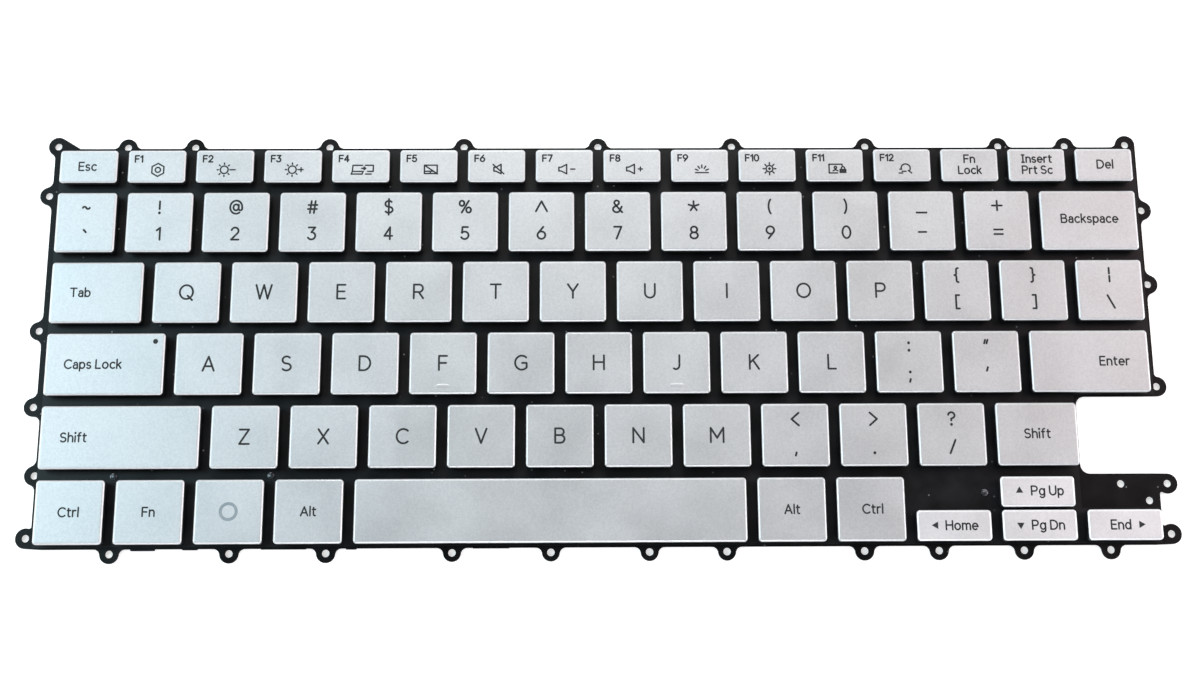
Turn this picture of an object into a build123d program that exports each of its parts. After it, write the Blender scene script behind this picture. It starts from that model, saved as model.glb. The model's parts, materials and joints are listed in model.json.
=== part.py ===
from build123d import *
from collections import namedtuple
from math import acos, atan, atan2, ceil, cos, degrees, hypot, pi, sin
import os

# Laptop replacement keyboard, lying on its back with the key tops up. Millimetres.
# The layout starts at the near left corner of the key field. The finished solids are moved so
# that the origin lies on the underside, below the middle of the base plate's outline.

# Key field
field_width = 269.6  # over all the caps
field_depth = 98.5
key_gap = 2.6  # clear space between neighbouring caps
grave_width = 14.8  # first cap of the number row
tab_width = 22.6
caps_lock_width = 28.9
left_shift_width = 38.4
right_shift_width = 19.8
space_width = 94.0
function_depth = 8.5  # front to back
half_key_gap = 0.65  # between the two stacked arrow caps

# Key cap
cap_height = 1.8
cap_roof = 0.9  # thickness over the hollow
cap_wall = 0.8
cap_inset = 0.35  # the top is this much smaller on each side
homing_bar_length = 3.4
homing_bar_width = 0.5
homing_bar_height = 0.15
homing_bar_from_edge = 2.0  # from the cap's near edge

# Stack under the caps
backlight_thickness = 0.4
plate_thickness = 0.4
membrane_thickness = 0.3
key_travel = 1.2
pressed_clearance = 0.2  # under the skirt of a pressed cap
membrane_inset = 0.5  # in from the plate's edge
backlight_inset = 1.6

# Base plate outline, past the key field
plate_left = 2.55
plate_right = 2.25
plate_top = 1.6
plate_bottom = 0.9
left_step = 1.0  # the lower part of the left edge lies this much further in
tongue_step = 1.05  # and so does the right edge below the notch
notch_side = 1.1  # from the right shift cap to the notch
notch_above = 0.6  # from the enter cap to the notch
notch_below = 1.0  # from the arrow caps to the notch
notch_radius = 2.2

# Fixing ears
ear_radius = 2.45
ear_hole_radius = 0.9
ear_flare = 0.9  # how far an ear widens at its foot, each side
ear_root = 1.0  # sunk into the plate
top_reach = 0.3  # from the plate's edge out to the ear's hole
bottom_reach = 1.15
corner_reach = 4.0  # along the diagonal
corner_in = 0.65  # from the left edge to the corner ear's hole
corner_rise = 0.3  # how much further out the two top corner ears stand
round_step = pi / 3.5  # a rounded end is drawn with flats no wider than this angle
# Each top ear stands behind the gap to the right of a function cap
top_ears = ["esc", "f1", "f3", "f5", "f7", "f9", "f11", "fn_lock", "insert"]
# Up the sides: a cap in the ear's row, the ear's place from the row's middle, reach, flare
left_ears = [
    ("grave", 7.9, 0.75, ear_flare),
    ("caps_lock", 9.1, 0.75, ear_flare),
    ("left_shift", 8.0, 0.75, ear_flare),
]
low_left_ears = [("left_ctrl", 9.2, 0.25, ear_flare), ("left_ctrl", -5.9, 1.25, 0)]
right_ears = [
    ("backspace", 3.5, 0.35, ear_flare),
    ("backslash", 2.2, 0.35, ear_flare),
    ("enter", -5.8, 0.35, 0),
]
tongue_ears = [("right_ctrl", 6.2, 2.0, 0), ("right_ctrl", -6.0, 2.0, 0)]
# Along the bottom: the cap that each ear goes with, and its place from that cap's middle
bottom_ears = [
    ("left_ctrl", 9.2),
    ("system", -0.2),
    ("left_alt", 3.9),
    ("space", -23.7),
    ("space", 0.0),
    ("space", 23.7),
    ("space", 42.3),
    ("right_ctrl", -1.4),
    ("home", -3.2),
    ("page_down", -3.2),
    ("end", -2.8),
]
# Two more holes in the tongue beside the arrow block, from the end cap's middle and from its row's
tongue_holes = [(0.8, 6.2), (7.5, 2.1)]

# Scissor links, domes and stabiliser wires
link_length = 10.6  # or less, under a cap with no room for it
link_width = 1.5
small_link_width = 0.7  # under shallow caps
link_thickness = 0.6
link_seat = 0.1  # clear at both ends of a link
link_side_gap = 0.4  # from a dome to the link beside it
dome_width = 4.2
dome_top_width = 2.4
small_dome_width = 2.8
small_dome_top_width = 1.6
wire_width = 0.8
wire_end_gap = 1.0  # from the wire's legs to the cap's inner wall
wire_back_gap = 0.35  # from the wire's long run to the cap's inner wall
wire_leg_run = 8.5  # along the cap

Cap = namedtuple("Cap", "x y width depth")
Ear = namedtuple("Ear", "x y turn reach flare")
Mechanism = namedtuple("Mechanism", "dome_width dome_top_width link_width turn")
full_mechanism = Mechanism(dome_width, dome_top_width, link_width, 0)
small_mechanism = Mechanism(small_dome_width, small_dome_top_width, small_link_width, 90)

function_row = ["esc", *[f"f{n}" for n in range(1, 13)], "fn_lock", "insert", "delete"]
number_row = ["grave", *"1234567890", "minus", "equals", "backspace"]
tab_row = ["tab", *"qwertyuiop", "left_bracket", "right_bracket", "backslash"]
caps_row = ["caps_lock", *"asdfghjkl", "semicolon", "quote", "enter"]
shift_row = ["left_shift", *"zxcvbnm", "comma", "period", "slash", "right_shift"]
space_row = ["left_ctrl", "fn", "system", "left_alt", "space", "right_alt", "right_ctrl"]
arrow_block = ["home", "page_down", "end"]
stabilised = ["caps_lock", "enter", "left_shift", "space"]
homing_keys = ["f", "j"]
fixed_keys = function_row + number_row[:-1]  # these two rows share a node each

# Sizes that follow
pitch_x = (field_width - tab_width) / (len(tab_row) - 1)  # key to key along a row
pitch_y = (field_depth - function_depth) / 5  # row to row
unit_width = pitch_x - key_gap
unit_depth = pitch_y - key_gap
half_depth = (unit_depth - half_key_gap) / 2
function_width = (field_width + key_gap) / len(function_row) - key_gap
space_y, shift_y, caps_y, tab_y, number_y = [unit_depth / 2 + n * pitch_y for n in range(5)]
function_y = number_y + (unit_depth + function_depth) / 2 + key_gap

plate_z = backlight_thickness
membrane_z = plate_z + plate_thickness
floor_z = membrane_z + membrane_thickness  # what the links and domes stand on
skirt_z = floor_z + pressed_clearance + key_travel
roof_z = skirt_z + cap_height - cap_roof


def row_caps(names, y, widths, depth=unit_depth):
    """Caps side by side from the field's left edge; a name with no width of its own is a unit key."""
    caps = {}
    left = 0.0
    for name in names:
        width = widths.get(name, unit_width)
        caps[name] = Cap(left + width / 2, y, width, depth)
        left += width + key_gap
    return caps


def to_edge(cap, edge):
    """The cap with its right side moved to the edge."""
    left = cap.x - cap.width / 2
    return cap._replace(x=(left + edge) / 2, width=edge - left)


def key_field():
    """All the caps by name, row by row."""
    function_widths = dict.fromkeys(function_row, function_width)
    caps = row_caps(function_row, function_y, function_widths, function_depth)
    caps |= row_caps(number_row, number_y, {"grave": grave_width})
    caps |= row_caps(tab_row, tab_y, {"tab": tab_width})
    caps |= row_caps(caps_row, caps_y, {"caps_lock": caps_lock_width})
    shift_widths = {"left_shift": left_shift_width, "right_shift": right_shift_width}
    caps |= row_caps(shift_row, shift_y, shift_widths)
    caps |= row_caps(space_row, space_y, {"space": space_width})
    caps["backspace"] = to_edge(caps["backspace"], field_width)
    caps["enter"] = to_edge(caps["enter"], field_width)
    left = caps["right_ctrl"].x + unit_width / 2 + key_gap
    width = (field_width - left + key_gap) / len(arrow_block) - key_gap
    for column, name in enumerate(arrow_block):
        x = left + width / 2 + column * (width + key_gap)
        caps[name] = Cap(x, half_depth / 2, width, half_depth)
    caps["page_up"] = caps["page_down"]._replace(y=unit_depth - half_depth / 2)
    return caps


caps = key_field()
edge_left = -plate_left
edge_right = field_width + plate_right
edge_top = function_y + function_depth / 2 + plate_top
edge_bottom = -plate_bottom
low_left = edge_left + left_step
low_right = edge_right - tongue_step
notch_left = caps["right_shift"].x + caps["right_shift"].width / 2 + notch_side
notch_top = caps_y - unit_depth / 2 - notch_above
notch_bottom = unit_depth + notch_below


def fixing_ears():
    """Ears round the plate: each hole's place, the way the ear points and its reach past the edge."""
    ears = []
    for name in top_ears:
        x = caps[name].x + (function_width + key_gap) / 2
        ears.append(Ear(x, edge_top + top_reach, 0, top_reach, ear_flare))
    corner_y = edge_top + top_reach + corner_rise
    ears.append(Ear(edge_left + corner_in, corner_y, 45, corner_reach, 0))
    ears.append(Ear(edge_right - ear_radius, corner_y, 0, top_reach + corner_rise, 0))
    for edge, side_ears in ((edge_left, left_ears), (low_left, low_left_ears)):
        for name, along, reach, flare in side_ears:
            ears.append(Ear(edge - reach, caps[name].y + along, 90, reach, flare))
    for edge, side_ears in ((edge_right, right_ears), (low_right, tongue_ears)):
        for name, along, reach, flare in side_ears:
            ears.append(Ear(edge + reach, caps[name].y + along, -90, reach, flare))
    for name, aside in bottom_ears:
        x = caps[name].x + aside
        ears.append(Ear(x, edge_bottom - bottom_reach, 180, bottom_reach, ear_flare))
    return ears


ears = fixing_ears()
holes = [(ear.x, ear.y) for ear in ears]
holes += [(caps["end"].x + aside, space_y + along) for aside, along in tongue_holes]


def rounded(x, y, radius, start, end):
    """Points round part of a circle, close enough together for its flats to pass as round."""
    flats = ceil(abs(end - start) / round_step - 1e-6)
    angles = [start + (end - start) * n / flats for n in range(flats + 1)]
    return [(x + radius * cos(a), y + radius * sin(a)) for a in angles]


def ear_face(ear):
    """A rounded crown on two straight flanks that run from its sides to the wider foot."""
    foot = ear_radius + ear.flare
    tangent = atan2(-ear.reach, foot) + acos(ear_radius / hypot(foot, ear.reach))
    outline = Polyline(
        *rounded(0, 0, ear_radius, tangent, pi - tangent),
        (-foot, -ear.reach),
        (-foot, -ear.reach - ear_root),
        (foot, -ear.reach - ear_root),
        (foot, -ear.reach),
        close=True,
    )
    return Pos(ear.x, ear.y) * Rot(0, 0, ear.turn) * make_face(outline)


def panel_face():
    """The plate's outline without its ears."""
    inner_x = notch_left + notch_radius
    step_y = shift_y + unit_depth / 2
    outline = Polyline(
        (edge_left, edge_top),
        (edge_right, edge_top),
        (edge_right, notch_top),
        *rounded(inner_x, notch_top - notch_radius, notch_radius, pi / 2, pi),
        *rounded(inner_x, notch_bottom + notch_radius, notch_radius, pi, 1.5 * pi),
        (low_right, notch_bottom),
        (low_right, edge_bottom),
        (low_left, edge_bottom),
        (low_left, step_y),
        (edge_left, step_y),
        close=True,
    )
    return make_face(outline)


def sheet_face(inset):
    """A sheet under the key field, in from the plate's edge; the tongue's open corner stays bare."""
    left, right = low_left + inset, edge_right - inset
    bottom, top = edge_bottom + inset, edge_top - inset
    inner_x, upper_y = notch_left - inset, notch_top + inset
    lower_y = half_depth + half_key_gap
    outline = Polyline(
        (left, bottom),
        (right - tongue_step, bottom),
        (right - tongue_step, lower_y),
        (inner_x, lower_y),
        (inner_x, upper_y),
        (right, upper_y),
        (right, top),
        (left, top),
        close=True,
    )
    return make_face(outline)


def plate_face():
    face = panel_face() + [ear_face(ear) for ear in ears]
    return face - [Pos(x, y) * Circle(ear_hole_radius) for x, y in holes]


def key_cap(name):
    """A drafted cap, hollow underneath; the two homing keys have a raised bar."""
    cap = caps[name]
    taper = degrees(atan(cap_inset / cap_height))
    solid = extrude(Rectangle(cap.width, cap.depth), amount=cap_height, taper=taper)
    hollow = cap_height - cap_roof
    solid -= Pos(0, 0, hollow / 2) * Box(cap.width - 2 * cap_wall, cap.depth - 2 * cap_wall, hollow)
    if name in homing_keys:
        bar = Box(homing_bar_length, homing_bar_width, 2 * homing_bar_height)
        solid += Pos(0, homing_bar_from_edge - cap.depth / 2, cap_height) * bar
    return Pos(cap.x, cap.y, skirt_z) * solid


def mechanism_of(cap):
    """Shallow caps have a small dome, and links that run along the row."""
    return small_mechanism if cap.depth < unit_depth else full_mechanism


def dome(cap):
    """A rubber dome from the sheet up to the cap's roof, drawn with four flat sides."""
    size = mechanism_of(cap)
    height = roof_z - floor_z
    taper = degrees(atan((size.dome_width - size.dome_top_width) / 2 / height))
    solid = extrude(Rectangle(size.dome_width, size.dome_width), amount=height, taper=taper)
    return Pos(cap.x, cap.y, floor_z) * solid


def link(cap, side):
    """One arm of a scissor pair, from the sheet at one end to the cap's roof at the other."""
    size = mechanism_of(cap)
    room = (cap.width if size.turn else cap.depth) - 2 * cap_wall - 2 * link_side_gap
    length = min(link_length, room)
    rise = roof_z - floor_z - link_thickness - 2 * link_seat
    tilt = degrees(atan(rise / length))
    aside = (size.dome_width + size.link_width) / 2 + link_side_gap
    arm = Pos(side * aside, 0, 0) * Rot(side * tilt, 0, 0)
    arm *= Box(size.link_width, length, link_thickness)
    return Pos(cap.x, cap.y, (floor_z + roof_z) / 2) * Rot(0, 0, size.turn) * arm


def stabiliser(name):
    """A bent wire: its long run lies under the cap's roof and its legs reach down to the sheet."""
    cap = caps[name]
    half = cap.width / 2 - cap_wall - wire_end_gap - wire_width / 2
    back = cap.depth / 2 - cap_wall - wire_back_gap - wire_width / 2
    high = roof_z - link_seat - wire_width / 2
    low = floor_z + link_seat + wire_width / 2
    path = Polyline(
        (-half, back - wire_leg_run, low),
        (-half, back, high),
        (half, back, high),
        (half, back - wire_leg_run, low),
    )
    section = Plane(path @ 0, z_dir=path % 0) * Rectangle(wire_width, wire_width)
    return Pos(cap.x, cap.y, 0) * sweep(section, path=path, transition=Transition.RIGHT)


outline = plate_face()
middle = outline.bounding_box().center()


def save(node, *solids):
    """Writes one node, moved so that the origin is under the middle of the outline."""
    placed = [Pos(-middle.X, -middle.Y, 0) * solid for solid in solids]
    whole = placed[0] if len(placed) == 1 else Compound(children=placed)
    export_step(whole, f"parts/{node}.step")


def sheet(face, z, thickness):
    return Pos(0, 0, z) * extrude(face, amount=thickness)


os.makedirs("parts", exist_ok=True)
save("base_plate", sheet(outline, plate_z, plate_thickness))
save("membrane_sheet", sheet(sheet_face(membrane_inset), membrane_z, membrane_thickness))
save("backlight_panel", sheet(sheet_face(backlight_inset), 0, backlight_thickness))
save("rubber_domes", *[dome(cap) for cap in caps.values()])
save("scissor_inner_links", *[link(cap, -1) for cap in caps.values()])
save("scissor_outer_links", *[link(cap, 1) for cap in caps.values()])
save("stabiliser_bars", *[stabiliser(name) for name in stabilised])
save("function_row_keys", *[key_cap(name) for name in function_row])
save("number_row_keys", *[key_cap(name) for name in number_row if name in fixed_keys])
for name in caps:
    if name not in fixed_keys:
        save(f"key_{name}", key_cap(name))
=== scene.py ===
import json

import bmesh
import bpy
import numpy as np
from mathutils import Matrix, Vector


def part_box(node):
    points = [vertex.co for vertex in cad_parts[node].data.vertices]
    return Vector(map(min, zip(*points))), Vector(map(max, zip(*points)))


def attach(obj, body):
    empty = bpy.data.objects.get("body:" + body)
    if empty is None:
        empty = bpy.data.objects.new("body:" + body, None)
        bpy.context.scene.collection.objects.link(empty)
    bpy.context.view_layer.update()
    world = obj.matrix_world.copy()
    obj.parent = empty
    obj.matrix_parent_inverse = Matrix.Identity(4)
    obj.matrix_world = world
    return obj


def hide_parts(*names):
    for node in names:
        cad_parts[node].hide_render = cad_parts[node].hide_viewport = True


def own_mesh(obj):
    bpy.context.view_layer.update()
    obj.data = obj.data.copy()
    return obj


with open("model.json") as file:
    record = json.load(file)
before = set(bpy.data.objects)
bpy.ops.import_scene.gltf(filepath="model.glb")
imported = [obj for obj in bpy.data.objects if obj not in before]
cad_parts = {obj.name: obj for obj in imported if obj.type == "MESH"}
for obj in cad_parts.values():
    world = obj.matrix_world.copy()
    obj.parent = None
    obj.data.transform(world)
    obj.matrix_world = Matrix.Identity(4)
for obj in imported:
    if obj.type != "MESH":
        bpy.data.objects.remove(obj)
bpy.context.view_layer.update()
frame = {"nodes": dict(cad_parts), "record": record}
nodes = frame["nodes"]
mm = 0.001
base = "keyboard_base"
print("frame loaded,", len(nodes), "nodes")


# sRGB hex to linear: value / 12.92 near black, ((value + 0.055) / 1.055) ^ 2.4 above
def linearColour(hexCode):
    s = np.array([int(hexCode[k:k + 2], 16) / 255 for k in (1, 3, 5)])
    rgb = np.where(s <= 0.04045, s / 12.92, ((s + 0.055) / 1.055) ** 2.4)
    return (*rgb.tolist(), 1.0)


# one node: settings are its properties, values fill its sockets, links feed its sockets
def addNode(tree, kind, settings=None, values=None, links=None):
    node = tree.nodes.new(kind)
    for name, value in (settings or {}).items():
        setattr(node, name, value)
    for name, value in (values or {}).items():
        node.inputs[name].default_value = value
    for name, output in (links or {}).items():
        tree.links.new(output, node.inputs[name])
    return node


# an empty node tree and the Object coordinates that every pattern reads
def startMaterial(name):
    material = bpy.data.materials.new(name)
    material.use_nodes = True
    tree = material.node_tree
    tree.nodes.clear()
    place = addNode(tree, "ShaderNodeTexCoord").outputs["Object"]
    return material, tree, place


# the shader with its plain values and its fed sockets, joined to the output
def endMaterial(tree, values, links):
    shader = addNode(tree, "ShaderNodeBsdfPrincipled", values=values, links=links)
    addNode(tree, "ShaderNodeOutputMaterial", links={"Surface": shader.outputs["BSDF"]})


# texture scale per metre for a pattern of this size in millimetres: 1 / size
def perSize(size):
    return 1 / (size * mm)


# noise keeps to its middle range, which is stretched over a colour's two shades
noiseSpan = {"From Min": 0.3, "From Max": 0.7}


# noise of a size in millimetres, stretched over its span, mixes two shades; gives the noise and the colour
def shadeNoise(tree, place, size, detail, span, shades):
    noise = addNode(tree, "ShaderNodeTexNoise", values={"Scale": perSize(size), "Detail": detail},
                    links={"Vector": place})
    tone = addNode(tree, "ShaderNodeMapRange", values=span, links={"Value": noise.outputs["Fac"]})
    colour = addNode(tree, "ShaderNodeMix", {"data_type": "RGBA"},
                     values={6: linearColour(shades[0]), 7: linearColour(shades[1])},
                     links={0: tone.outputs["Result"]})
    return noise.outputs["Fac"], colour.outputs[2]


# Satin silver paint on moulded ABS: fine flake, soft sheen, faint hand marks in the gloss
silverLook = {
    "satinSilverPaint": ("#c9ccd0", "#d6d9dc"),
    "brightLitSilverPaint": ("#e2e4e8", "#eceef2"),  # painted highlight: a brighter copy of the silver for the four small caps with arrows, for the light they catch
    "flake": 0.45,  # real flake is about 0.03 mm, drawn coarse so that it shows
    "grain": (0.04, 0.01),  # bump strength and depth
    "smudge": 14.0,
    "roughness": (0.4, 0.5),
    "metallic": 0.65,
}


# flake noise mixes the two shades and lifts the grain, smudge noise moves the roughness
def silverPaint(name):
    look = silverLook
    material, tree, place = startMaterial(name)
    flake, colour = shadeNoise(tree, place, look["flake"], 3.0, noiseSpan, look[name])
    smudge = addNode(tree, "ShaderNodeTexNoise", values={"Scale": perSize(look["smudge"]), "Detail": 4.0},
                     links={"Vector": place})
    gloss = addNode(tree, "ShaderNodeMapRange",
                    values={**noiseSpan, "To Min": look["roughness"][0], "To Max": look["roughness"][1]},
                    links={"Value": smudge.outputs["Fac"]})
    grain = addNode(tree, "ShaderNodeBump",
                    values={"Strength": look["grain"][0], "Distance": look["grain"][1] * mm},
                    links={"Height": flake})
    endMaterial(tree, {"Metallic": look["metallic"]},
                {"Base Color": colour, "Roughness": gloss.outputs["Result"],
                 "Normal": grain.outputs["Normal"]})
    return material


# Pad-printed ink, nearly black or pale grey: flat and matt, a little thinner in places
inkLook = {
    "padPrintInk": ("#14171a", "#1d2125"),
    "palePadPrintInk": ("#7d8a92", "#8a959c"),
    "cloud": 1.2,
    "cloudSpan": {"From Min": 0.35, "From Max": 0.65},
    "roughness": 0.65,
}


# cloud noise mixes the two shades
def legendInk(name):
    look = inkLook
    material, tree, place = startMaterial(name)
    colour = shadeNoise(tree, place, look["cloud"], 2.0, look["cloudSpan"], look[name])[1]
    endMaterial(tree, {"Roughness": look["roughness"]}, {"Base Color": colour})
    return material


# Black coat over steel, or black film: nearly matt, with pale lint and dust that settles on it
blackLook = {
    "blackCoatedSteel": ("#08090b", "#0e1013", 0.25),  # two shades and specular level
    "blackPolyesterFilm": ("#0c0e11", "#15171b", 0.4),
    "mottle": 5.0,
    "mottleSpan": {"From Min": 0.35, "From Max": 0.7},
    "speckSpacing": 4.0,
    "speckEdge": (0.035, 0.06),  # a speck's full and faded radius, as shares of the spacing
    "speckPick": 0.8,  # only cells that draw more than this have a speck
    "speck": "#8f9092",
    "roughness": (0.3, 0.42),
}


# mottle noise mixes the two shades and moves the roughness; a speck lies near the middle of a few cells
def blackCoat(name):
    look = blackLook
    *shades, specular = look[name]
    material, tree, place = startMaterial(name)
    mottle, coat = shadeNoise(tree, place, look["mottle"], 5.0, look["mottleSpan"], shades)
    cells = addNode(tree, "ShaderNodeTexVoronoi", {"voronoi_dimensions": "2D"},
                    values={"Scale": perSize(look["speckSpacing"])}, links={"Vector": place})
    near = addNode(tree, "ShaderNodeMapRange",
                   values={"From Min": look["speckEdge"][0], "From Max": look["speckEdge"][1],
                           "To Min": 1.0, "To Max": 0.0},
                   links={"Value": cells.outputs["Distance"]})
    pick = addNode(tree, "ShaderNodeSeparateColor", links={"Color": cells.outputs["Color"]})
    few = addNode(tree, "ShaderNodeMapRange", values={"From Min": look["speckPick"], "From Max": 1.0},
                  links={"Value": pick.outputs["Red"]})
    amount = addNode(tree, "ShaderNodeMath", {"operation": "MULTIPLY"},
                     links={0: near.outputs["Result"], 1: few.outputs["Result"]})
    colour = addNode(tree, "ShaderNodeMix", {"data_type": "RGBA"}, values={7: linearColour(look["speck"])},
                     links={0: amount.outputs["Value"], 6: coat})
    gloss = addNode(tree, "ShaderNodeMapRange",
                    values={**noiseSpan, "To Min": look["roughness"][0], "To Max": look["roughness"][1]},
                    links={"Value": mottle})
    endMaterial(tree, {"IOR": 1.45, "Specular IOR Level": specular},
                {"Base Color": colour.outputs[2], "Roughness": gloss.outputs["Result"]})
    return material


# Plain parts, slightly uneven in colour with a fine grain: two shades, roughness, cloud size, other values
plainLook = {
    "milkySilicone": ("#c4c5c2", "#d2d3d0", 0.45, 1.5, {"Subsurface Weight": 0.15}),  # soft, waxy domes
    "blackCapSides": ("#0e1013", "#15171a", 0.5, 2.0, {}),  # cap sides below the paint drawn black, nearly matt
    "blackAcetal": ("#1b1c1e", "#242527", 0.4, 1.0, {}),  # moulded links with a slippery sheen
    "whiteAcrylicSheet": ("#dfe2e4", "#eceeef", 0.25, 8.0, {}),  # clean, fairly glossy light panel
    "drawnSteelWire": ("#a9abae", "#bcbec0", 0.3, 0.6, {"Metallic": 1.0}),  # bright wire
    "darkRivetSteel": ("#5c5f64", "#6c6f73", 0.35, 0.6, {"Metallic": 1.0}),  # dull heads that glint
    "grain": (0.1, 0.02),  # bump strength and depth
}


# cloud noise mixes the two shades and lifts the grain
def plainMaterial(name):
    *shades, roughness, cloudSize, values = plainLook[name]
    strength, depth = plainLook["grain"]
    material, tree, place = startMaterial(name)
    cloud, colour = shadeNoise(tree, place, cloudSize, 3.0, noiseSpan, shades)
    grain = addNode(tree, "ShaderNodeBump", values={"Strength": strength, "Distance": depth * mm},
                    links={"Height": cloud})
    endMaterial(tree, {"Roughness": roughness, **values},
                {"Base Color": colour, "Normal": grain.outputs["Normal"]})
    return material


silver, brightLitSilver = silverPaint("satinSilverPaint"), silverPaint("brightLitSilverPaint")
ink, paleInk = legendInk("padPrintInk"), legendInk("palePadPrintInk")
plateCoat, filmCoat = blackCoat("blackCoatedSteel"), blackCoat("blackPolyesterFilm")
silicone = plainMaterial("milkySilicone")
skirtBlack = plainMaterial("blackCapSides")
acetal = plainMaterial("blackAcetal")
acrylic = plainMaterial("whiteAcrylicSheet")
wireSteel = plainMaterial("drawnSteelWire")
rivetSteel = plainMaterial("darkRivetSteel")
print("materials made")


# quads of a grid of points: each row runs round a closed loop, each next row goes on from it
def gridFaces(rows, columns):
    i, j = np.meshgrid(np.arange(rows - 1), np.arange(columns), indexing="ij")
    k = (j + 1) % columns
    return np.stack([i * columns + j, i * columns + k, (i + 1) * columns + k, (i + 1) * columns + j],
                    -1).reshape(-1, 4)


# a closed shell from loops (rows, columns, 3): quads between the rows, and one face over each end
def loopShell(loops, slot):
    rows, columns = loops.shape[:2]
    ends = [list(range(columns))[::-1], list(range((rows - 1) * columns, rows * columns))]
    return {"points": loops.reshape(-1, 3), "faces": gridFaces(rows, columns).tolist() + ends, "slot": slot}


# a ring shell from loops that meet again: the last row joins the first
def ringShell(loops, slot):
    rows, columns = loops.shape[:2]
    faces = gridFaces(rows + 1, columns) % (rows * columns)
    return {"points": loops.reshape(-1, 3), "faces": faces.tolist(), "slot": slot}


# points round a unit circle at even turns: (cos, sin)
def unitCircle(steps):
    turn = np.linspace(0, 2 * np.pi, steps + 1)[:-1]
    return np.stack([np.cos(turn), np.sin(turn)], -1)


# surface of revolution about an upright axis: middle + radius x (cos, sin) at each height
def turnedShell(middle, radii, heights, steps, slot):
    flat = np.array(middle[:2]) + radii[:, None, None] * unitCircle(steps)
    z = np.broadcast_to(heights[:, None, None], (len(radii), steps, 1))
    return loopShell(np.concatenate([flat, z], -1), slot)


# points round a rectangle's four corners: the signs of each point's corner, and its way out as (cos, sin)
def cornerWays(steps):
    turn = np.radians(np.arange(4)[:, None] * 90 + np.linspace(0, 90, steps + 1)).ravel()
    signs = np.repeat([(1, 1), (-1, 1), (-1, -1), (1, -1)], steps + 1, axis=0)
    return signs, np.stack([np.cos(turn), np.sin(turn)], -1)


sharpAngle = np.radians(35)


# a mesh as an object that rides on a body, smooth except past the sharp angle
def placePiece(mesh, body, replaced):
    mesh.polygons.foreach_set("use_smooth", np.ones(len(mesh.polygons), bool))
    mesh.set_sharp_from_angle(angle=sharpAngle)
    mesh.update()
    piece = bpy.data.objects.new(mesh.name, mesh)
    bpy.context.scene.collection.objects.link(piece)
    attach(piece, body)
    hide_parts(*replaced)
    return piece


# one piece from shells in millimetres: their points and faces in one mesh
def buildPiece(name, shells, materials, body, replaced):
    starts = np.cumsum([0] + [len(shell["points"]) for shell in shells])
    faces = [[k + start for k in face] for shell, start in zip(shells, starts.tolist())
             for face in shell["faces"]]
    slots = np.concatenate([np.broadcast_to(shell["slot"], len(shell["faces"])) for shell in shells])
    mesh = bpy.data.meshes.new(name)
    mesh.from_pydata(np.concatenate([shell["points"] for shell in shells]) * mm, [], faces)
    for material in materials:
        mesh.materials.append(material)
    mesh.polygons.foreach_set("material_index", slots.astype(np.int32))
    return placePiece(mesh, body, replaced)


# lowest and highest corner of a node in millimetres
def nodeBox(node):
    low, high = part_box(node)
    return np.array(low) / mm, np.array(high) / mm


# caps that share a node, from left to right
capFunction = ["esc", *[f"f{n}" for n in range(1, 13)], "fn_lock", "insert", "delete"]
capNumber = ["grave", *"1234567890", "minus", "equals"]
qLow, qHigh = nodeBox("key_q")
wLow = nodeBox("key_w")[0]
keyGap, keyPitch = wLow[0] - qHigh[0], wLow[0] - qLow[0]
floorZ = nodeBox("membrane_sheet")[1][2]
skirtZ, topZ = qLow[2], qHigh[2]


# box of each cap: the function row's node is divided evenly with the letter caps' gap between, and the
# number row's by their pitch from its right end
def capBoxes():
    boxes = {node[4:]: nodeBox(node) for node in nodes if node.startswith("key_")}
    low, high = nodeBox("function_row_keys")
    step = (high[0] - low[0] + keyGap) / len(capFunction)
    for n, name in enumerate(capFunction):
        left = low[0] + n * step
        boxes[name] = np.array([left, *low[1:]]), np.array([left + step - keyGap, *high[1:]])
    low, high = nodeBox("number_row_keys")
    edges = high[0] + keyGap - keyPitch * np.arange(len(capNumber) - 1, -1, -1)
    for name, right in zip(capNumber, edges):
        left = max(right - keyPitch, low[0])
        boxes[name] = np.array([left, *low[1:]]), np.array([right - keyGap, *high[1:]])
    return boxes


caps = capBoxes()
capNode = {name: f"key_{name}" for name in caps}
capNode |= dict.fromkeys(capFunction, "function_row_keys") | dict.fromkeys(capNumber, "number_row_keys")

# Key cap: a rounded rectangle carried up its side profile, hollow below
paintSlot, inkSlot, paleInkSlot, skirtSlot = range(4)
capShape = {
    "cornerRadius": 0.85,
    "leastRadius": 0.3,
    "lean": 0.04,  # how far the side leans in below the edge
    "edgeTilts": [75, 60, 48, 42, 36, 30, 20, 8],  # the edge's steps, degrees from flat
    "edgeSteps": [0.05, 0.06, 0.08, 0.1, 0.1, 0.1, 0.05, 0.05],
    "paintDrop": 0.08,  # how far the paint comes down below the edge
    "blackRows": 4,  # rows of faces from the hollow's roof up to the paint
    "rimRound": 0.1,
    "wall": 0.8,
    "roof": 0.9,
    "flatRing": 0.25,  # ring that keeps the flat top flat
    "cornerSteps": 6,
    "barKeys": ("f", "j"),
    "barLength": 3.4,
    "barSection": [(-0.52, -0.02), (-0.4, 0.015), (-0.26, 0.045), (0.26, 0.045), (0.4, 0.015),
                   (0.52, -0.02)],  # across the bar, and up from the cap's top
    "barSteps": 13,
    "barPower": 8,  # the higher, the blunter the bar's ends
    "barTip": 0.02,
    "barFromEdge": 2.0,
}


# loops of a rounded rectangle: half sizes less the row's inset, corner arcs of the row's radius
def roundedLoops(centre, half, inset, height, radius):
    signs, out = cornerWays(capShape["cornerSteps"])
    inset, radius = inset[:, None, None], radius[:, None, None]
    flat = centre[:2] + signs * (half[:2] - inset - radius) + radius * out
    z = np.broadcast_to(height[:, None, None], (*flat.shape[:2], 1))
    return np.concatenate([flat, z], -1)
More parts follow.
